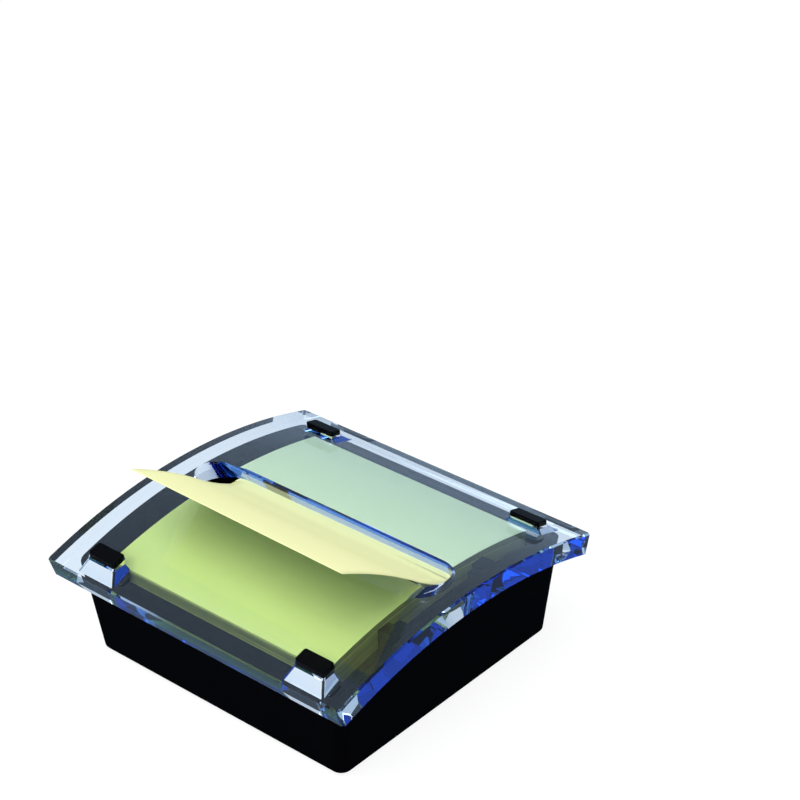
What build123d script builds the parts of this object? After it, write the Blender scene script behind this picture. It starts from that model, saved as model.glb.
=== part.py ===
from build123d import *
import math
import os

# Pop-up note holder: a weighted black box, a clear arched lid held on four corner
# posts, and a sprung arched plate that presses a pad of notes up against the lid.
# Millimetres. +Z is up, +Y runs along the lid's slot, the arch runs along X.
# The origin is on the desk, under the middle of the box.

os.makedirs("parts", exist_ok=True)

# ---- driving dimensions ----

# paper
pad_side = 76.2                 # a 3 inch square pad
pad_thickness = 9.0             # about ninety sheets
sheet_thickness = 0.15
note_out_length = 45.0          # the popped note, from the pad to its free end
note_lean = 32.0                # degrees, its straight part above the slot

# lid
lid_width = 98.8                # across the arch, at the top face
lid_depth = 103.4               # along the slot
lid_thickness = 5.8
lid_radius = 158.0              # top face of the arch
lid_corner_radius = 1.2
lid_edge_chamfer = 0.45
slot_width = 10.8               # at the top face
slot_flare = 3.9                # how much wider the slot gets on each long side, going down
slot_collar = 0.8               # straight height at the top of the slot
hole_flare = 1.4                # how much wider a post hole gets on each side, going down
hole_collar = 1.3               # straight length at the top of each post hole

# box
base_height = 31.6              # crown of the arched rim, above the desk
base_bottom_x = 81.6            # outside, at the bottom
base_bottom_y = 87.6
base_draft = 5.7                # degrees, the walls lean outwards
base_corner_radius = 3.2
base_bottom_fillet = 1.1
wall = 2.4
floor_thickness = 2.0

# corner posts
post_width = 4.2
post_length = 9.8
post_stand = 1.3                # height above the lid's top face
post_pad_gap = 1.1              # between a post and the side of the pad
post_setback = 1.3              # how far a post's middle lies inside the pad's corner
post_corner_radius = 0.8
post_top_fillet = 0.35
stem_width = 2.4
stem_length = 7.0
stem_depth = 8.0
post_land = 1.0                 # plastic round the post's length

# guide ribs and stops on the front and rear walls
rib_spacing = 36.0
rib_width = 4.0
rib_drop = 1.4                  # rib top, below the rim
stop_width = 3.0
stop_height = 2.0
stop_setback = 1.0              # stop's inner face, behind the rib's

# sprung plate
plate_thickness = 2.0
skirt_thickness = 1.6
skirt_radius = 2.0
tongue_reach = 3.4
tongue_thickness = 2.0
tongue_lift = 1.0               # tongue's underside, above the skirt's edge
press_travel = 4.0              # how far the loaded plate can be pushed down
ring_outer_radii = (14.0, 10.2, 7.0)
ring_groove_width = 0.9
ring_groove_depth = 0.5

# springs
spring_pitch_x = 44.0
spring_pitch_y = 44.0
spring_outer_radius = 6.0
spring_wire_radius = 0.35
spring_turns = 5
spring_seat_drop = 5.3          # crown of the plate down to the spring seats
seat_rim = 1.0
stub_height = 1.2

# bottom
foot_stand = 0.6                # box bottom, above the desk
foot_radius = 5.0
foot_thickness = 1.8
foot_pitch_x = 56.0
foot_pitch_y = 58.0
foot_edge_fillet = 0.3
cover_thickness = 2.4
ballast_x = 56.0
ballast_y = 74.0
ballast_thickness = 4.0
ballast_corner_radius = 2.0
boss_radius = 3.0
boss_edge_gap = 1.4
screw_radius = 1.05
screw_head_radius = 2.1
screw_head_height = 1.3
screw_recess = 0.2              # head, below the cover's face
screw_length = 5.6
screw_cross_length = 2.4
screw_cross_width = 0.6
screw_cross_depth = 0.6

# clearances
lid_seat_gap = 0.2              # lid to rim
lid_pad_gap = 0.3               # lid to the uppermost sheet
post_hole_gap = 0.15            # each side of a post, in the lid
socket_gap = 0.05               # each side of a stem, in its socket
guide_gap = 0.5                 # pad to its guides
plate_gap = 0.1                 # plate past the pad, each side
tongue_gap = 0.4                # tongue to the ribs
stop_gap = 0.1                  # tongue to its stop when the pad is used up
cover_gap = 0.3
ballast_gap = 0.3
screw_gap = 0.2                 # screw in the cover
pilot_gap = 0.05                # screw thread in its boss
note_gap = 0.3                  # popped note to the slot's edges and to the pad
slot_end_gap = 5.55             # slot past the notes, each end
stub_gap = 0.4                  # spring over its stubs
press_gap = 0.75                # skirt to floor when the plate is pushed right down

# how far a cutting shape runs past what it cuts, and the least inside radius
overshoot = 1.0
least_radius = 0.4

# ---- sizes worked out from them ----

rim_radius = lid_radius - lid_thickness - lid_seat_gap
arch_centre_z = base_height - rim_radius
lid_under_radius = lid_radius - lid_thickness
sheet_top_radius = lid_under_radius - lid_pad_gap
pad_top_radius = sheet_top_radius - sheet_thickness
plate_top_radius = pad_top_radius - pad_thickness
plate_under_radius = plate_top_radius - plate_thickness

base_bottom_z = foot_stand
cover_top_z = base_bottom_z + cover_thickness
floor_bottom_z = cover_top_z + ballast_thickness + ballast_gap
floor_top_z = floor_bottom_z + floor_thickness
plate_crown_z = arch_centre_z + plate_top_radius
skirt_bottom_z = floor_top_z + press_travel + press_gap
skirt_height = plate_crown_z - skirt_bottom_z
tongue_bottom_z = skirt_bottom_z + tongue_lift
tongue_top_z = tongue_bottom_z + tongue_thickness
spring_top_z = plate_crown_z - spring_seat_drop
stop_bottom_z = tongue_top_z + pad_thickness + sheet_thickness + stop_gap

slot_length = pad_side + 2 * slot_end_gap
slot_low_half = slot_width / 2 + slot_flare
guide_half = pad_side / 2 + guide_gap
plate_side = pad_side + 2 * plate_gap
post_x = pad_side / 2 + post_pad_gap + post_width / 2
post_y = pad_side / 2 - post_setback
base_inner_radius = max(base_corner_radius - wall, least_radius)
half_lid_angle = math.asin(lid_width / 2 / lid_radius)

CORNERS = {
    "front_left": (-1, -1),
    "front_right": (1, -1),
    "rear_left": (-1, 1),
    "rear_right": (1, 1),
}


def arch_z(radius, x):
    """Height of an arch of this radius at x; all the arches share one centre line."""
    return arch_centre_z + math.sqrt(radius ** 2 - x ** 2)


def outer_half(bottom_size, z):
    """Half the box's outside size at a height."""
    return bottom_size / 2 + (z - base_bottom_z) * math.tan(math.radians(base_draft))


def ruled_block(low_outline, high_outline, low_z, high_z):
    """Upright block whose sides run straight from one outline to another."""
    low = Pos(0, 0, low_z) * low_outline
    high = Pos(0, 0, high_z) * high_outline
    return loft(Sketch() + [low, high], ruled=True)


def tapered_block(low_size, high_size, low_z, high_z, corner_radius):
    """Upright block with rounded corners whose sides lean from one size to another."""
    low = RectangleRounded(*low_size, corner_radius)
    high = RectangleRounded(*high_size, corner_radius)
    return ruled_block(low, high, low_z, high_z)


def box_between(low, high):
    """Box from its lowest corner to its highest."""
    size = [high[i] - low[i] for i in range(3)]
    middle = [(high[i] + low[i]) / 2 for i in range(3)]
    return Pos(*middle) * Box(*size)


def cylinder_between(x, y, radius, low_z, high_z):
    """Upright cylinder between two heights."""
    return Pos(x, y, (low_z + high_z) / 2) * Cylinder(radius, high_z - low_z)


def arched_slab(low_radius, high_radius, x_from, x_to, depth):
    """Slab between two arches, with upright sides."""
    x_mid = (x_from + x_to) / 2
    low = [(x, arch_z(low_radius, x)) for x in (x_from, x_mid, x_to)]
    high = [(x, arch_z(high_radius, x)) for x in (x_to, x_mid, x_from)]
    outline = Curve() + [
        ThreePointArc(*low),
        Line(low[2], high[0]),
        ThreePointArc(*high),
        Line(high[2], low[0]),
    ]
    return extrude(Plane.XZ * make_face(outline), depth / 2, both=True)


def under_arch(radius, half_width, depth):
    """Everything from the desk up to an arch."""
    left = (-half_width, arch_z(radius, half_width))
    right = (half_width, arch_z(radius, half_width))
    outline = Curve() + [
        Line((-half_width, 0), (half_width, 0)),
        Line((half_width, 0), right),
        ThreePointArc(right, (0, arch_z(radius, 0)), left),
        Line(left, (-half_width, 0)),
    ]
    return extrude(Plane.XZ * make_face(outline), depth / 2, both=True)


def wall_block(inset, low_z, high_z, corner_radius):
    """Block that follows the box's leaning walls, set in from its outside."""
    low_half = [outer_half(size, low_z) - inset for size in (base_bottom_x, base_bottom_y)]
    high_half = [outer_half(size, high_z) - inset for size in (base_bottom_x, base_bottom_y)]
    low_size = [2 * half for half in low_half]
    high_size = [2 * half for half in high_half]
    return tapered_block(low_size, high_size, low_z, high_z, corner_radius)


def mirrored_boxes(low, high):
    """A box in the +X +Y quarter and its copies in the other three."""
    boxes = []
    for side_x, side_y in CORNERS.values():
        xs = sorted((side_x * low[0], side_x * high[0]))
        ys = sorted((side_y * low[1], side_y * high[1]))
        boxes.append(box_between((xs[0], ys[0], low[2]), (xs[1], ys[1], high[2])))
    return boxes


# ---- corner posts: where their stems go ----

socket_bottom_z = arch_z(rim_radius, post_x) - stem_depth
stem_x = (guide_half + outer_half(base_bottom_x, socket_bottom_z)) / 2


def make_base_shell():
    """Box with an arched rim, a floor, corner pillars, pad guides and screw bosses."""
    body = wall_block(0, base_bottom_z, base_height + overshoot, base_corner_radius)
    bottom_edges = body.faces().sort_by(Axis.Z)[0].edges()
    body = fillet(bottom_edges, min(base_bottom_fillet, wall / 2))
    body = body & under_arch(rim_radius, lid_width / 2, lid_depth)

    well = wall_block(wall, floor_top_z, base_height + 2 * overshoot, base_inner_radius)
    underside = wall_block(wall, base_bottom_z, floor_bottom_z, base_inner_radius)

    reach_x = outer_half(base_bottom_x, base_height)
    reach_y = outer_half(base_bottom_y, base_height)
    pillar_y = post_y - post_length / 2 - post_land
    pillars = mirrored_boxes((guide_half, pillar_y, floor_top_z), (reach_x, reach_y, base_height))

    rib_x = (rib_spacing / 2 - rib_width / 2, rib_spacing / 2 + rib_width / 2)
    rib_top_z = arch_z(rim_radius, rib_x[1]) - rib_drop
    ribs = mirrored_boxes((rib_x[0], guide_half, floor_top_z), (rib_x[1], reach_y, rib_top_z))
    stop_low = (rib_x[0] - stop_width, guide_half + stop_setback, stop_bottom_z)
    stops = mirrored_boxes(stop_low, (rib_x[0], reach_y, stop_bottom_z + stop_height))

    shell = body - well - underside
    shell = shell + (Compound(pillars + ribs + stops) & body)

    shell = shell + [
        cylinder_between(x, y, boss_radius, cover_top_z, floor_bottom_z) for x, y in boss_places()
    ]
    pilot_top_z = floor_top_z - floor_thickness / 2
    shell = shell - [
        cylinder_between(x, y, screw_radius + pilot_gap, cover_top_z, pilot_top_z)
        for x, y in boss_places()
    ]
    shell = shell - stem_blocks(socket_gap, base_height)
    shell = shell + spring_stubs(floor_top_z, floor_top_z + stub_height)
    return shell


def boss_places():
    """Middles of the four screw bosses, inside the bottom opening's corners."""
    x = outer_half(base_bottom_x, base_bottom_z) - wall - boss_edge_gap - boss_radius
    y = outer_half(base_bottom_y, base_bottom_z) - wall - boss_edge_gap - boss_radius
    return [(side_x * x, side_y * y) for side_x, side_y in CORNERS.values()]


def stem_blocks(gap, top_z):
    """The posts' stems, or with a gap the sockets that they press into."""
    half = (stem_width / 2 + gap, stem_length / 2 + gap)
    low = (stem_x - half[0], post_y - half[1], socket_bottom_z)
    return mirrored_boxes(low, (stem_x + half[0], post_y + half[1], top_z))


def spring_places():
    """Middles of the four springs."""
    return [
        (side_x * spring_pitch_x / 2, side_y * spring_pitch_y / 2)
        for side_x, side_y in CORNERS.values()
    ]


def spring_stubs(low_z, high_z):
    """Short round stubs that keep the springs in place."""
    radius = spring_outer_radius - 2 * spring_wire_radius - stub_gap
    return [cylinder_between(x, y, radius, low_z, high_z) for x, y in spring_places()]


def make_lid():
    """Clear arched plate with the flared slot and the four flared post holes."""
    def rim_point(radius, angle):
        return (radius * math.sin(angle), arch_centre_z + radius * math.cos(angle))

    top = [rim_point(lid_radius, angle) for angle in (-half_lid_angle, 0, half_lid_angle)]
    under = [rim_point(lid_under_radius, angle) for angle in (half_lid_angle, 0, -half_lid_angle)]
    outline = Curve() + [
        ThreePointArc(*top),
        Line(top[2], under[0]),
        ThreePointArc(*under),
        Line(under[2], top[0]),
    ]
    plate = extrude(Plane.XZ * make_face(outline), lid_depth / 2, both=True)
    corner_edges = [
        edge for edge in plate.edges().filter_by(GeomType.LINE)
        if edge.length < 2 * lid_thickness
    ]
    plate = fillet(corner_edges, lid_corner_radius)
    top_face = plate.faces().filter_by(GeomType.CYLINDER).sort_by(SortBy.AREA)[-1]
    plate = chamfer(top_face.outer_wire().edges(), lid_edge_chamfer)

    above_z = arch_z(lid_radius, 0) + overshoot
    plate = plate - slot_opening(above_z)
    for side_x, side_y in CORNERS.values():
        plate = plate - Pos(side_x * post_x, side_y * post_y, 0) * post_hole(above_z)
    return plate


def slot_opening(above_z):
    """The slot: a short straight collar, then its long sides lean outwards going down."""
    collar_z = arch_z(lid_radius, slot_width / 2) - slot_collar
    under_z = arch_z(lid_under_radius, slot_low_half)
    low_width = slot_width + 2 * slot_flare * (1 + overshoot / (collar_z - under_z))
    low = Rot(0, 0, 90) * SlotOverall(slot_length, low_width)
    high = Rot(0, 0, 90) * SlotOverall(slot_length, slot_width)
    collar = extrude(Pos(0, 0, collar_z) * high, above_z - collar_z)
    return ruled_block(low, high, under_z - overshoot, collar_z) + collar


def post_hole(above_z):
    """One post hole: a close collar at the top, wider and wider below it."""
    size = (post_width + 2 * post_hole_gap, post_length + 2 * post_hole_gap)
    collar_z = arch_z(lid_radius, post_x + post_width / 2) - hole_collar
    flare_per_mm = hole_flare / (lid_thickness - hole_collar)
    depth = lid_thickness + post_width / 2
    flare = 2 * depth * flare_per_mm
    low_size = (size[0] + flare, size[1] + flare)
    lead = tapered_block(low_size, size, collar_z - depth, collar_z, post_corner_radius)
    mouth = Pos(0, 0, collar_z) * RectangleRounded(*size, post_corner_radius)
    return lead + extrude(mouth, above_z - collar_z)


def make_posts():
    """Four rubber posts: a head through the lid, and a stem in the pillar below it."""
    head = extrude(RectangleRounded(post_width, post_length, post_corner_radius), 2 * base_height)
    band = arched_slab(
        rim_radius, lid_radius + post_stand, post_x - post_width, post_x + post_width, lid_depth
    )
    head = Pos(post_x, post_y, 0) * head & band
    top_face = head.faces().filter_by(GeomType.CYLINDER).sort_by(Axis.Z)[-1]
    head = fillet(top_face.edges(), post_top_fillet)
    stem_low = (stem_x - stem_width / 2, post_y - stem_length / 2, socket_bottom_z)
    stem_high = (stem_x + stem_width / 2, post_y + stem_length / 2, base_height)
    stem = box_between(stem_low, stem_high) & under_arch(rim_radius, lid_width / 2, lid_depth)
    post = head + stem
    posts = {}
    for corner, (side_x, side_y) in CORNERS.items():
        placed = post if side_x > 0 else mirror(post, Plane.YZ)
        placed = placed if side_y > 0 else mirror(placed, Plane.XZ)
        posts["lid_post_" + corner] = placed
    return posts


def make_pusher_plate():
    """Arched plate with a skirt, spring seats, end tongues and a ringed middle."""
    half = plate_side / 2
    tall = skirt_height + overshoot
    bottom = Pos(0, 0, skirt_bottom_z)
    outline = extrude(bottom * RectangleRounded(plate_side, plate_side, skirt_radius), tall)
    inside_side = plate_side - 2 * skirt_thickness
    inside_radius = max(skirt_radius - skirt_thickness, least_radius)
    inside = extrude(bottom * RectangleRounded(inside_side, inside_side, inside_radius), tall)
    shell = (outline & under_arch(plate_top_radius, plate_side, lid_depth)) - (
        inside & under_arch(plate_under_radius, plate_side, lid_depth)
    )

    seats = [
        cylinder_between(x, y, spring_outer_radius + seat_rim, spring_top_z, plate_crown_z)
        for x, y in spring_places()
    ]
    mid_radius = (plate_top_radius + plate_under_radius) / 2
    shell = shell + (Compound(seats) & under_arch(mid_radius, plate_side, lid_depth))
    shell = shell + spring_stubs(spring_top_z - stub_height, spring_top_z)

    tongue_half = rib_spacing / 2 - rib_width / 2 - tongue_gap
    for side in (-1, 1):
        ends = sorted((side * (half - skirt_thickness / 2), side * (half + tongue_reach)))
        low = (-tongue_half, ends[0], tongue_bottom_z)
        shell = shell + box_between(low, (tongue_half, ends[1], tongue_top_z))

    groove_floor_radius = plate_top_radius - ring_groove_depth
    groove_band = arched_slab(
        groove_floor_radius, plate_top_radius + overshoot, -half, half, plate_side
    )
    for ring_radius in ring_outer_radii:
        ring = Circle(ring_radius) - Circle(ring_radius - ring_groove_width)
        shell = shell - (extrude(bottom * ring, tall) & groove_band)
    return shell


def helix_path(radius, pitch, turns):
    """Helix of arcs that run smoothly into each other, two arcs for each half turn."""
    def place(half_turn):
        angle = math.pi * half_turn
        rise = pitch * half_turn / 2
        return Vector(radius * math.cos(angle), radius * math.sin(angle), rise)

    def heading(half_turn):
        angle = math.pi * half_turn
        slope = pitch / (2 * math.pi)
        return Vector(-radius * math.sin(angle), radius * math.cos(angle), slope).normalized()

    # the reach at which the two tangents' ends lie twice that reach apart
    chord = place(1) - place(0)
    turn = heading(0) + heading(1)
    a = turn.dot(turn) - 4
    b = chord.dot(turn)
    c = chord.dot(chord)
    reach = (b - math.sqrt(b ** 2 - a * c)) / a

    arcs = []
    for i in range(2 * turns):
        start, end = place(i), place(i + 1)
        first = start + heading(i) * reach
        last = end - heading(i + 1) * reach
        middle = (first + last) * 0.5
        arcs.append(TangentArc(start, middle, tangent=heading(i)))
        arcs.append(TangentArc(middle, end, tangent=last - first))
    return Wire(arcs)


def make_springs():
    """Four coil springs between the floor and the plate's seats."""
    coil_radius = spring_outer_radius - spring_wire_radius
    low_z = floor_top_z + spring_wire_radius
    coil_height = spring_top_z - floor_top_z - 2 * spring_wire_radius
    path = helix_path(coil_radius, coil_height / spring_turns, spring_turns)
    section = Plane(origin=path @ 0, z_dir=path % 0) * Circle(spring_wire_radius)
    coil = sweep(section, path=path)
    return {
        "plate_spring_" + corner: Pos(x, y, low_z) * coil
        for corner, (x, y) in zip(CORNERS, spring_places())
    }


def make_bottom_cover():
    """Plate that closes the box from below, with screw holes and foot pockets."""
    size_x = 2 * (base_bottom_x / 2 - wall - cover_gap)
    size_y = 2 * (base_bottom_y / 2 - wall - cover_gap)
    outline = Pos(0, 0, base_bottom_z) * RectangleRounded(size_x, size_y, base_inner_radius)
    cover = extrude(outline, cover_thickness)
    head_top_z = base_bottom_z + screw_recess + screw_head_height
    for x, y in boss_places():
        cover = cover - cylinder_between(x, y, screw_radius + screw_gap, base_bottom_z, cover_top_z)
        cover = cover - cylinder_between(
            x, y, screw_head_radius + screw_gap, base_bottom_z, head_top_z
        )
    for x, y in foot_places():
        cover = cover - cylinder_between(x, y, foot_radius, base_bottom_z, foot_thickness)
    return cover


def foot_places():
    """Middles of the four feet."""
    return [
        (side_x * foot_pitch_x / 2, side_y * foot_pitch_y / 2)
        for side_x, side_y in CORNERS.values()
    ]


def make_feet():
    """Four round rubber feet in the cover's pockets."""
    feet = {}
    for corner, (x, y) in zip(CORNERS, foot_places()):
        foot = cylinder_between(x, y, foot_radius, 0, foot_thickness)
        rim_edge = foot.edges().filter_by(GeomType.CIRCLE).sort_by(Axis.Z)[0]
        feet["foot_" + corner] = fillet(rim_edge, foot_edge_fillet)
    return feet


def make_screws():
    """Four pan head screws that hold the cover to the bosses."""
    head_low_z = base_bottom_z + screw_recess
    head_top_z = head_low_z + screw_head_height
    screws = []
    for x, y in boss_places():
        head = cylinder_between(x, y, screw_head_radius, head_low_z, head_top_z)
        shank = cylinder_between(x, y, screw_radius, head_low_z, head_top_z + screw_length)
        cross_z = head_low_z + screw_cross_depth / 2
        bar = Box(screw_cross_length, screw_cross_width, screw_cross_depth)
        cross = bar + Rot(0, 0, 90) * bar
        screws.append((head + shank - Pos(x, y, cross_z) * cross).solid())
    return Compound(screws)


def make_ballast():
    """Steel slab that gives the box its weight."""
    slab = RectangleRounded(ballast_x, ballast_y, ballast_corner_radius)
    return extrude(Pos(0, 0, cover_top_z) * slab, ballast_thickness)


def make_note_pad():
    """Pad of notes, bent to the arch between the plate and the lid."""
    half = pad_side / 2
    return arched_slab(plate_top_radius, pad_top_radius, -half, half, pad_side)


def note_foot():
    """Where the popped note leaves the pad, in X and Z, beside the slot's rounded +X side."""
    past_straight = max(pad_side / 2 - (slot_length / 2 - slot_low_half), 0)
    x = math.sqrt(slot_low_half ** 2 - past_straight ** 2) - note_gap
    return x, arch_z(sheet_top_radius, x) + note_gap


def make_top_sheet():
    """The half of the uppermost note that still lies on the pad."""
    return arched_slab(
        pad_top_radius, sheet_top_radius, note_foot()[0], pad_side / 2, pad_side
    )


def make_popped_note():
    """The note's free half: it bends up from the pad and leans out over the slot's -X edge."""
    foot_x, foot_z = note_foot()
    edge_x = -slot_width / 2
    edge_z = arch_z(lid_radius, edge_x) + note_gap
    lean = math.radians(note_lean)
    foot_lean = 2 * math.atan2(edge_z - foot_z, foot_x - edge_x) - lean
    bend_radius = (foot_x - edge_x) / (math.sin(lean) - math.sin(foot_lean))
    straight = note_out_length - bend_radius * (lean - foot_lean)
    end_x = edge_x - straight * math.cos(lean)
    end_z = edge_z + straight * math.sin(lean)

    def layer(side):
        shift = side * sheet_thickness / 2
        middle = [(foot_x, foot_z, foot_lean), (edge_x, edge_z, lean), (end_x, end_z, lean)]
        return [
            (x + shift * math.sin(angle), z + shift * math.cos(angle)) for x, z, angle in middle
        ]

    low, high = layer(-1), layer(1)
    down_lean = (math.cos(lean), -math.sin(lean))
    outline = Curve() + [
        TangentArc(low[1], low[0], tangent=down_lean),
        Line(low[0], high[0]),
        TangentArc(high[1], high[0], tangent=down_lean),
        Line(high[1], high[2]),
        Line(high[2], low[2]),
        Line(low[2], low[1]),
    ]
    return extrude(Plane.XZ * make_face(outline), pad_side / 2, both=True)


def make_all():
    """Every piece by its name."""
    pieces = {
        "base_shell": make_base_shell(),
        "bottom_cover": make_bottom_cover(),
        "ballast_plate": make_ballast(),
        "cover_screws": make_screws(),
        "lid": make_lid(),
        "pusher_plate": make_pusher_plate(),
        "note_pad": make_note_pad(),
        "top_sheet": make_top_sheet(),
        "popped_note": make_popped_note(),
    }
    pieces.update(make_posts())
    pieces.update(make_springs())
    pieces.update(make_feet())
    return pieces


for name, piece in make_all().items():
    export_step(piece, os.path.join("parts", name + ".step"))
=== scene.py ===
import math
import random

import bpy
from mathutils import Matrix, Vector


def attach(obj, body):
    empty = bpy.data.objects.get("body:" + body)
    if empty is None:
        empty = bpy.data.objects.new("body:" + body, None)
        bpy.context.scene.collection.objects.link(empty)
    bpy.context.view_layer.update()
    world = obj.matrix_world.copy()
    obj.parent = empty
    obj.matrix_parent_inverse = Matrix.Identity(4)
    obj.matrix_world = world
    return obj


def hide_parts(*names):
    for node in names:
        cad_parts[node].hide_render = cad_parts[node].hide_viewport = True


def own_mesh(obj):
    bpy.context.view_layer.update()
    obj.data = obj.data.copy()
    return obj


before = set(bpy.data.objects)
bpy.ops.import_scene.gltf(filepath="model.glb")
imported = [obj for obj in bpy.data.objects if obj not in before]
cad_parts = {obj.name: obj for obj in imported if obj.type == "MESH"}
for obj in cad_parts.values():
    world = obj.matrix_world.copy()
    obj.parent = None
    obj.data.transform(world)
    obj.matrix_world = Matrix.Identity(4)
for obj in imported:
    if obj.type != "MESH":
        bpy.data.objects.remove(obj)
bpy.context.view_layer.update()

MM = 0.001

# ---- the object's sizes, in millimetres, as in the solids ----

ARCH_CENTRE_Z = -120.4          # all the arches share this centre line
SHEET_TOP_RADIUS = 151.9
PAD_TOP_RADIUS = 151.75
PLATE_TOP_RADIUS = 142.75
PAD_HALF = 38.1
NOTE_FOOT = (8.9, 31.16)        # where the popped note leaves the pad, in X and Z
NOTE_LENGTH = 45.0
NOTE_LEANS = (                  # its lean in degrees at lengths from its foot
    (0.0, 3.4),
    (1.4, 3.4),
    (5.0, 25.0),
    (16.3, 37.5),
    (NOTE_LENGTH, 25.4),
)
NOTE_SKEW = math.radians(1.8)   # it came out a little crooked
SPRING_FOOT_Z = 9.3
SPRING_TOP_Z = 17.05
SPRING_PITCH = 22.0             # of each spring's middle from the box's middle
SPRING_COIL_RADIUS = 5.65
SPRING_WIRE_RADIUS = 0.35
SPRING_TURNS = 5

# sockets of a colour mix node
MIX_FACTOR = 0
MIX_A = 6
MIX_B = 7
MIX_RESULT = 2


# ---- small helpers ----

def linear(hex_colour):
    """sRGB hex to the linear colour that the shaders take."""
    channels = [int(hex_colour[i:i + 2], 16) / 255 for i in (1, 3, 5)]
    return [c / 12.92 if c <= 0.04045 else ((c + 0.055) / 1.055) ** 2.4 for c in channels] + [1.0]


def node(tree, kind, values=None, links=None, **settings):
    """Adds a node with its settings, its sockets' values and its links."""
    added = tree.nodes.new(kind)
    for name, value in settings.items():
        setattr(added, name, value)
    for socket, value in (values or {}).items():
        added.inputs[socket].default_value = value
    for socket, source in (links or {}).items():
        tree.links.new(source, added.inputs[socket])
    return added


def new_material(name):
    """An empty material and its node tree."""
    material = bpy.data.materials.new(name)
    material.use_nodes = True
    material.node_tree.nodes.clear()
    return material, material.node_tree


def new_object(name, vertices, faces, smooth=True):
    """A mesh object from points in millimetres."""
    mesh = bpy.data.meshes.new(name)
    mesh.from_pydata([[MM * c for c in v] for v in vertices], [], faces)
    mesh.validate()
    mesh.polygons.foreach_set("use_smooth", [smooth] * len(mesh.polygons))
    made = bpy.data.objects.new(name, mesh)
    bpy.context.scene.collection.objects.link(made)
    return made


def arch_z(radius, x):
    """Height of an arch at x, in millimetres."""
    return ARCH_CENTRE_Z + math.sqrt(radius ** 2 - x ** 2)


# ---- materials ----

def cast_acrylic():
    """Cast acrylic (PMMA), flame polished: clear in its thickness, deep blue along its width."""
    material, tree = new_material("cast_acrylic_polished")
    shine = node(tree, "ShaderNodeBsdfPrincipled", values={
        "Base Color": linear("#FFFFFF"),
        "Roughness": 0.0,
        "IOR": 1.49,
        "Transmission Weight": 1.0,
    })
    open_to_lamps = node(tree, "ShaderNodeBsdfTransparent")
    rays = node(tree, "ShaderNodeLightPath")
    surface = node(tree, "ShaderNodeMixShader", links={
        0: rays.outputs["Is Shadow Ray"],
        1: shine.outputs[0],
        2: open_to_lamps.outputs[0],
    })
    # the dye takes red first, so long ways through the lid turn blue
    dye = node(tree, "ShaderNodeVolumeAbsorption", values={
        "Color": (0.06, 0.47, 0.86, 1.0),
        "Density": 50.0,
    })
    node(tree, "ShaderNodeOutputMaterial", links={
        "Surface": surface.outputs[0],
        "Volume": dye.outputs[0],
    })
    return material


def moulded_plastic(name, hex_colour, roughness, shine, grain_mm):
    """Injection moulded ABS or rubber: black and nearly matt, with a fine spark grain in its gloss."""
    spread = 0.06                   # of the roughness, over the grain
    material, tree = new_material(name)
    place = node(tree, "ShaderNodeTexCoord")
    grain = node(tree, "ShaderNodeTexNoise", links={"Vector": place.outputs["Object"]}, values={
        "Scale": 1.0 / (grain_mm * MM),
        "Detail": 2.0,
    })
    gloss = node(tree, "ShaderNodeMapRange", links={"Value": grain.outputs["Fac"]}, values={
        "To Min": roughness - spread,
        "To Max": roughness + spread,
    })
    relief = node(tree, "ShaderNodeBump", links={"Height": grain.outputs["Fac"]}, values={
        "Strength": 0.05,
        "Distance": 0.02 * MM,
    })
    body = node(tree, "ShaderNodeBsdfPrincipled", values={
        "Base Color": linear(hex_colour),
        "Specular IOR Level": shine,
    }, links={
        "Roughness": gloss.outputs[0],
        "Normal": relief.outputs[0],
    })
    node(tree, "ShaderNodeOutputMaterial", links={"Surface": body.outputs[0]})
    return material


def plated_steel(name, hex_colour, roughness):
    """Plated or drawn steel: a dull metal with faint cloudy patches."""
    cloud_mm = 3.0
    spread = 0.08                   # of the roughness, over the clouds
    material, tree = new_material(name)
    place = node(tree, "ShaderNodeTexCoord")
    cloud = node(tree, "ShaderNodeTexNoise", links={"Vector": place.outputs["Object"]}, values={
        "Scale": 1.0 / (cloud_mm * MM),
        "Detail": 3.0,
    })
    gloss = node(tree, "ShaderNodeMapRange", links={"Value": cloud.outputs["Fac"]}, values={
        "To Min": roughness - spread,
        "To Max": roughness + spread,
    })
    body = node(tree, "ShaderNodeBsdfPrincipled", values={
        "Base Color": linear(hex_colour),
        "Metallic": 1.0,
    }, links={"Roughness": gloss.outputs[0]})
    node(tree, "ShaderNodeOutputMaterial", links={"Surface": body.outputs[0]})
    return material


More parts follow.
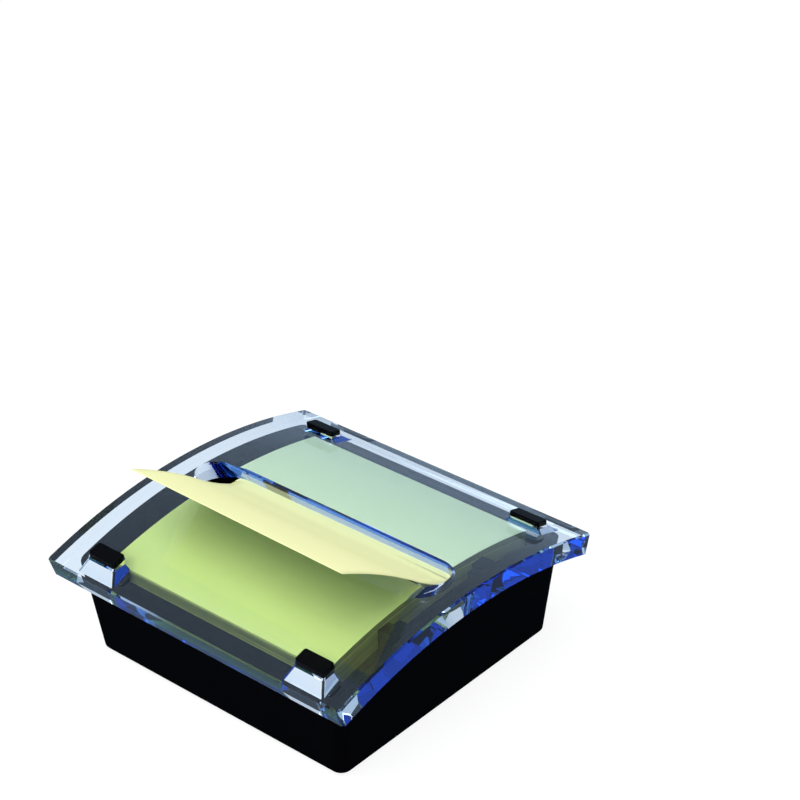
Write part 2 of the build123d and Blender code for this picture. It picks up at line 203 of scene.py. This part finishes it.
def note_paper(name, hex_colour, hex_shade, hex_shaded_cut):
    """Uncoated note paper: matt, with faint fibres; the stack's cut sides get a painted shade, a darker
    colour broken by fine lines of the sheets.
    """
    fibre_mm = 0.6
    line_mm = 0.3                   # real sheets are 0.1 mm, too fine to show
    line_strength = 0.45
    steep = 0.3                     # faces with less upright normals than this are cut sides, which get the painted shade
    lying_flat = 0.6                # and with more than this, the paper's face
    material, tree = new_material(name)
    place = node(tree, "ShaderNodeTexCoord")
    fibres = node(tree, "ShaderNodeTexNoise", links={"Vector": place.outputs["Object"]}, values={
        "Scale": 1.0 / (fibre_mm * MM),
        "Detail": 4.0,
        "Roughness": 0.7,
    })
    tint = node(tree, "ShaderNodeMix", data_type="RGBA", links={MIX_FACTOR: fibres.outputs["Fac"]}, values={
        MIX_A: linear(hex_colour),
        MIX_B: linear(hex_shade),
    })
    from_centre = node(tree, "ShaderNodeVectorMath", operation="MULTIPLY_ADD", values={
        1: (1, 0, 1),
        2: (0, 0, -ARCH_CENTRE_Z * MM),
    }, links={0: place.outputs["Object"]})
    height = node(tree, "ShaderNodeVectorMath", operation="LENGTH", links={0: from_centre.outputs[0]})
    sheets = node(tree, "ShaderNodeMath", operation="MULTIPLY", values={
        1: 2 * math.pi / (line_mm * MM),
    }, links={0: height.outputs["Value"]})
    sheets = node(tree, "ShaderNodeMath", operation="SINE", links={0: sheets.outputs[0]})
    lines = node(tree, "ShaderNodeMapRange", links={"Value": sheets.outputs[0]}, values={
        "From Min": -1.0,
        "To Min": 0.0,
        "To Max": line_strength,
    })
    # painted shade: the cut sides' dark colour stands for the shade in the gap around the stack, with the
    # sheets' lines on it
    shaded_cut = node(tree, "ShaderNodeMix", data_type="RGBA", links={MIX_FACTOR: lines.outputs[0]}, values={
        MIX_A: linear(hex_shaded_cut),
        MIX_B: linear(hex_shade),
    })
    facing = node(tree, "ShaderNodeSeparateXYZ", links={0: place.outputs["Normal"]})
    upright = node(tree, "ShaderNodeMath", operation="ABSOLUTE", links={0: facing.outputs["Z"]})
    lying = node(tree, "ShaderNodeMapRange", links={"Value": upright.outputs[0]}, values={
        "From Min": steep,
        "From Max": lying_flat,
    })
    colour = node(tree, "ShaderNodeMix", data_type="RGBA", links={
        MIX_FACTOR: lying.outputs[0],
        MIX_A: shaded_cut.outputs[MIX_RESULT],
        MIX_B: tint.outputs[MIX_RESULT],
    })
    relief = node(tree, "ShaderNodeBump", links={"Height": fibres.outputs["Fac"]}, values={
        "Strength": 0.2,
        "Distance": 0.01 * MM,
    })
    body = node(tree, "ShaderNodeBsdfPrincipled", values={
        "Roughness": 0.85,
        "Specular IOR Level": 0.06,
    }, links={
        "Base Color": colour.outputs[MIX_RESULT],
        "Normal": relief.outputs[0],
    })
    node(tree, "ShaderNodeOutputMaterial", links={"Surface": body.outputs[0]})
    return material


# ---- pieces ----

def arched_sheet(bottom, top, x_ends, y_ends, segments):
    """Vertices and faces of a closed slab between two arches' radii, in millimetres."""
    x_low, x_high = x_ends
    vertices = []
    for i in range(segments + 1):
        x = x_low + (x_high - x_low) * i / segments
        for y in y_ends:
            vertices.append((x, y, arch_z(bottom, x)))
            vertices.append((x, y, arch_z(top, x)))
    faces = [(0, 1, 3, 2)]
    for i in range(segments):
        a = 4 * i
        b = a + 4
        faces.append((a + 1, b + 1, b + 3, a + 3))
        faces.append((a, a + 2, b + 2, b))
        faces.append((a, b, b + 1, a + 1))
        faces.append((a + 2, a + 3, b + 3, b + 2))
    last = 4 * segments
    faces.append((last, last + 2, last + 3, last + 1))
    return vertices, faces


def make_pad(paper):
    """The pad as a stack of thin bundles whose edges don't quite line up."""
    chance = random.Random(7)
    bundles = 30
    paper_share = 0.94              # of a bundle's pitch; the rest is the gap above it
    stray = 0.14                    # the most that a bundle's side stands back
    step = (PAD_TOP_RADIUS - PLATE_TOP_RADIUS) / bundles
    all_vertices = []
    all_faces = []
    for i in range(bundles):
        low = PLATE_TOP_RADIUS + i * step
        back_x, back_front, back_rear = [chance.uniform(0.0, stray) for _ in range(3)]
        half_x = PAD_HALF - back_x
        y_ends = (-PAD_HALF + back_front, PAD_HALF - back_rear)
        vertices, faces = arched_sheet(low, low + step * paper_share, (-half_x, half_x), y_ends, 36)
        start = len(all_vertices)
        all_vertices += vertices
        all_faces += [[start + k for k in face] for face in faces]
    pad = new_object("pad_of_notes", all_vertices, all_faces, smooth=False)
    pad.data.materials.append(paper)
    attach(pad, "plate_body")
    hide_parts("note_pad")


def make_lower_half(paper):
    """The uppermost note's half that still lies on the pad."""
    gap = 0.02                      # keeps its faces off the pad's
    overlap = 1.7                   # with the popped half's foot
    x_ends = (NOTE_FOOT[0] - overlap, PAD_HALF)
    y_ends = (-PAD_HALF, PAD_HALF)
    vertices, faces = arched_sheet(PAD_TOP_RADIUS + gap, SHEET_TOP_RADIUS - gap, x_ends, y_ends, 24)
    sheet = new_object("note_lying_half", vertices, faces, smooth=False)
    sheet.data.materials.append(paper)
    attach(sheet, "plate_body")
    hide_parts("top_sheet")


def note_lean(run):
    """Lean of the popped note at a length from its foot."""
    for (start, low), (end, high) in zip(NOTE_LEANS, NOTE_LEANS[1:]):
        if run <= end:
            break
    return math.radians(low + (high - low) * (run - start) / (end - start))


def note_line(length):
    """Middle line of the popped note at a length from its foot: X, Z and lean."""
    steps = 60
    x, z = NOTE_FOOT
    for i in range(steps):
        lean = note_lean(length * (i + 0.5) / steps)
        x -= length / steps * math.cos(lean)
        z += length / steps * math.sin(lean)
    return x, z, note_lean(length)


def make_popped_note(paper):
    """The note's free half, which bends up from the pad and leans out of the slot."""
    along = 44
    across = 24
    half_thickness = 0.05
    turned_about = 30.0             # the length about which it is turned by its skew
    vertices = []
    for side in (-1, 1):
        for i in range(along + 1):
            for j in range(across + 1):
                run = NOTE_LENGTH * i / along
                y = PAD_HALF * (2 * j / across - 1)
                x, z, lean = note_line(run - y * math.sin(NOTE_SKEW))
                vertices.append((
                    x + side * half_thickness * math.sin(lean),
                    y + (run - turned_about) * math.sin(NOTE_SKEW),
                    z + side * half_thickness * math.cos(lean),
                ))
    row = across + 1
    top = (along + 1) * row
    faces = []
    for i in range(along):
        for j in range(across):
            a = i * row + j
            faces.append((a, a + 1, a + row + 1, a + row))
            faces.append((top + a, top + a + row, top + a + row + 1, top + a + 1))
    for i in range(along):
        for a, b in ((i * row, (i + 1) * row), ((i + 1) * row + across, i * row + across)):
            faces.append((a, b, top + b, top + a))
    for j in range(across):
        for a, b in ((j + 1, j), (along * row + j, along * row + j + 1)):
            faces.append((a, b, top + b, top + a))
    note = new_object("note_popped_half", vertices, faces)
    note.data.materials.append(paper)
    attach(note, "note_body")
    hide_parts("popped_note")


def make_springs(steel):
    """Coil springs under the plate."""
    places = {
        "front_left": (-SPRING_PITCH, -SPRING_PITCH),
        "front_right": (SPRING_PITCH, -SPRING_PITCH),
        "rear_left": (-SPRING_PITCH, SPRING_PITCH),
        "rear_right": (SPRING_PITCH, SPRING_PITCH),
    }
    steps = 28
    sides = 8
    rise = SPRING_TOP_Z - SPRING_FOOT_Z - 2 * SPRING_WIRE_RADIUS
    for corner, (x, y) in places.items():
        vertices = []
        rings = steps * SPRING_TURNS + 1
        for i in range(rings):
            turn = 2 * math.pi * i / steps
            z = SPRING_FOOT_Z + SPRING_WIRE_RADIUS + rise * i / (rings - 1)
            for k in range(sides):
                around = 2 * math.pi * k / sides
                radius = SPRING_COIL_RADIUS + SPRING_WIRE_RADIUS * math.cos(around)
                vertices.append((
                    x + radius * math.cos(turn),
                    y + radius * math.sin(turn),
                    z + SPRING_WIRE_RADIUS * math.sin(around),
                ))
        faces = [tuple(range(sides))]
        for i in range(rings - 1):
            for k in range(sides):
                a = i * sides + k
                b = i * sides + (k + 1) % sides
                faces.append((a, a + sides, b + sides, b))
        faces.append(tuple((rings - 1) * sides + k for k in reversed(range(sides))))
        spring = new_object("coil_spring_" + corner, vertices, faces)
        spring.data.materials.append(steel)
        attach(spring, "base")
        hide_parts("plate_spring_" + corner)
        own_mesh(spring)


def dress_nodes(material, *names):
    """Gives carried-over solids their material."""
    for name in names:
        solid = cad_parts[name]
        for place in solid.material_slots:
            place.material = material


# ---- studio ----

LIGHT_SIDE = (-0.70, -0.15, 0.70)   # the overhead light leans to the left
DIM_GREY = "#8FA6C0"                # the studio as gloss mirrors it


def seen_openly(tree, rays):
    """1 for rays that meet the studio before any matt surface: direct, mirrored or through the lid."""
    return node(tree, "ShaderNodeMath", operation="LESS_THAN", values={1: 0.5}, links={
        0: rays.outputs["Diffuse Depth"],
    })


def mirrored_openly(tree, rays, seen):
    """1 for rays that gloss sends straight to the studio, and not the ones that come through the lid."""
    not_through = node(tree, "ShaderNodeMath", operation="SUBTRACT", values={0: 1.0}, links={
        1: rays.outputs["Is Transmission Ray"],
    })
    off_gloss = node(tree, "ShaderNodeMath", operation="MULTIPLY", links={
        0: rays.outputs["Is Glossy Ray"], 1: not_through.outputs[0],
    })
    return node(tree, "ShaderNodeMath", operation="MULTIPLY", links={
        0: seen.outputs[0], 1: off_gloss.outputs[0],
    })


def make_floor():
    """Pale floor that shows white, with the object's shadow on it."""
    reach = 3.0
    glow_level = 0.88               # glow and shaded share together show as white
    shaded_share = 0.14             # the part that a shadow takes away
    corners = [(-reach, -reach, 0), (reach, -reach, 0), (reach, reach, 0), (-reach, reach, 0)]
    floor = bpy.data.meshes.new("studio_floor")
    floor.from_pydata(corners, [], [(0, 1, 2, 3)])
    made = bpy.data.objects.new("studio_floor", floor)
    bpy.context.scene.collection.objects.link(made)
    material, tree = new_material("studio_paper_roll")
    plain = node(tree, "ShaderNodeBsdfDiffuse", values={"Color": linear("#E6E6E6")})
    glow = node(tree, "ShaderNodeEmission", values={"Strength": glow_level})
    faint = node(tree, "ShaderNodeBsdfDiffuse", values={
        "Color": (shaded_share, shaded_share, shaded_share, 1.0),
    })
    shown = node(tree, "ShaderNodeAddShader", links={0: glow.outputs[0], 1: faint.outputs[0]})
    rays = node(tree, "ShaderNodeLightPath")
    seen = seen_openly(tree, rays)
    in_gloss = node(tree, "ShaderNodeEmission", values={"Color": linear(DIM_GREY), "Strength": 1.0})
    mirrored = mirrored_openly(tree, rays, seen)
    openly = node(tree, "ShaderNodeMixShader", links={
        0: mirrored.outputs[0], 1: shown.outputs[0], 2: in_gloss.outputs[0],
    })
    surface = node(tree, "ShaderNodeMixShader", links={
        0: seen.outputs[0], 1: plain.outputs[0], 2: openly.outputs[0],
    })
    node(tree, "ShaderNodeOutputMaterial", links={"Surface": surface.outputs[0]})
    made.data.materials.append(material)


def make_world():
    """A white studio lit from above, which gloss mirrors as a dim blue grey."""
    dimmest = 0.76
    brightest = 1.12
    world = bpy.data.worlds.new("studio")
    bpy.context.scene.world = world
    world.use_nodes = True
    tree = world.node_tree
    tree.nodes.clear()
    rays = node(tree, "ShaderNodeLightPath")
    seen = seen_openly(tree, rays)
    mirrored = mirrored_openly(tree, rays, seen)
    place = node(tree, "ShaderNodeTexCoord")
    towards_light = node(tree, "ShaderNodeVectorMath", operation="DOT_PRODUCT", values={
        1: LIGHT_SIDE,
    }, links={0: place.outputs["Generated"]})
    level = node(tree, "ShaderNodeMapRange", interpolation_type="SMOOTHSTEP", values={
        "From Min": -0.1,
        "From Max": 1.0,
        "To Min": dimmest,
        "To Max": brightest,
    }, links={"Value": towards_light.outputs["Value"]})
    lighting = node(tree, "ShaderNodeBackground", links={"Strength": level.outputs[0]})
    white = node(tree, "ShaderNodeBackground", values={"Strength": 1.0})
    far_wall = node(tree, "ShaderNodeBackground", values={"Color": linear(DIM_GREY), "Strength": 1.0})
    shown = node(tree, "ShaderNodeMixShader", links={
        0: seen.outputs[0], 1: lighting.outputs[0], 2: white.outputs[0],
    })
    surroundings = node(tree, "ShaderNodeMixShader", links={
        0: mirrored.outputs[0], 1: shown.outputs[0], 2: far_wall.outputs[0],
    })
    node(tree, "ShaderNodeOutputWorld", links={"Surface": surroundings.outputs[0]})


def add_softbox(name, place, size, watts):
    """A square softbox that faces the object."""
    lamp = bpy.data.lights.new(name, "AREA")
    lamp.shape = "SQUARE"
    lamp.size = size
    lamp.energy = watts
    made = bpy.data.objects.new(name, lamp)
    made.location = place
    box_middle = Vector((0, 0, 0.02))
    aim = box_middle - Vector(place)
    made.rotation_euler = aim.to_track_quat("-Z", "Y").to_euler()
    made.visible_glossy = False     # its edges don't show in the lid
    bpy.context.scene.collection.objects.link(made)


def make_camera():
    """The photograph's view: from the front left, 30 degrees up, slightly rolled."""
    azimuth = math.radians(-47.99)
    elevation = math.radians(30.05)
    roll = math.radians(-1.69)
    distance = 616.49 * MM
    focal = 2334.6                  # in pixels of the 800 pixel frame
    frame_side = 800
    aim_pixel = (321.36, 576.32)    # where the aim point shows
    aim = Vector((0, 0, 20 * MM))
    back = Vector((
        math.sin(azimuth) * math.cos(elevation),
        -math.cos(azimuth) * math.cos(elevation),
        math.sin(elevation),
    ))
    level_right = Vector((0, 0, 1)).cross(back).normalized()
    level_up = back.cross(level_right)
    right = level_right * math.cos(roll) + level_up * math.sin(roll)
    up = level_up * math.cos(roll) - level_right * math.sin(roll)
    across = (aim_pixel[0] - frame_side / 2) / focal * distance
    above = -(aim_pixel[1] - frame_side / 2) / focal * distance
    camera = bpy.data.cameras.new("photo_view")
    camera.sensor_width = 36
    camera.lens = focal / frame_side * camera.sensor_width
    camera.clip_start = 0.01
    made = bpy.data.objects.new("photo_view", camera)
    turn = Matrix((right, up, back)).transposed().to_4x4()
    place = aim - right * across - up * above + back * distance
    made.matrix_world = Matrix.Translation(place) @ turn
    bpy.context.scene.collection.objects.link(made)
    bpy.context.scene.camera = made


# ---- the whole scene ----

make_camera()
make_world()
make_floor()
add_softbox("key_softbox", place=(-0.45, 0.15, 0.9), size=0.9, watts=7.0)

acrylic = cast_acrylic()
black_abs = moulded_plastic(
    "moulded_abs_black", "#040406", roughness=0.55, shine=0.004, grain_mm=0.25
)
black_rubber = moulded_plastic(
    "moulded_tpe_rubber_black", "#040405", roughness=0.4, shine=0.06, grain_mm=0.4
)
# each paper's last colour is the painted shade of its cut sides
pad_paper = note_paper("note_paper_green", "#E8EB81", "#E1E478", "#22280C")
note_yellow = note_paper("note_paper_yellow", "#F2F5BE", "#ECF0B2", "#B9BC78")
zinc_steel = plated_steel("zinc_plated_steel", "#A8A9AD", roughness=0.45)
music_wire = plated_steel("drawn_spring_steel", "#8F9196", roughness=0.35)

dress_nodes(acrylic, "lid")
dress_nodes(black_abs, "base_shell", "bottom_cover", "pusher_plate")
dress_nodes(
    black_rubber,
    "lid_post_front_left", "lid_post_front_right", "lid_post_rear_left", "lid_post_rear_right",
    "foot_front_left", "foot_front_right", "foot_rear_left", "foot_rear_right",
)
dress_nodes(zinc_steel, "ballast_plate", "cover_screws")

make_pad(pad_paper)
make_lower_half(note_yellow)
make_popped_note(note_yellow)
make_springs(music_wire)

scene = bpy.context.scene
scene.view_settings.view_transform = "Standard"
lid_bounces = 32                    # for light caught between the lid's faces
scene.cycles.max_bounces = lid_bounces
scene.cycles.glossy_bounces = lid_bounces
scene.cycles.transmission_bounces = lid_bounces
scene.cycles.transparent_max_bounces = 24

bpy.context.view_layer.update()
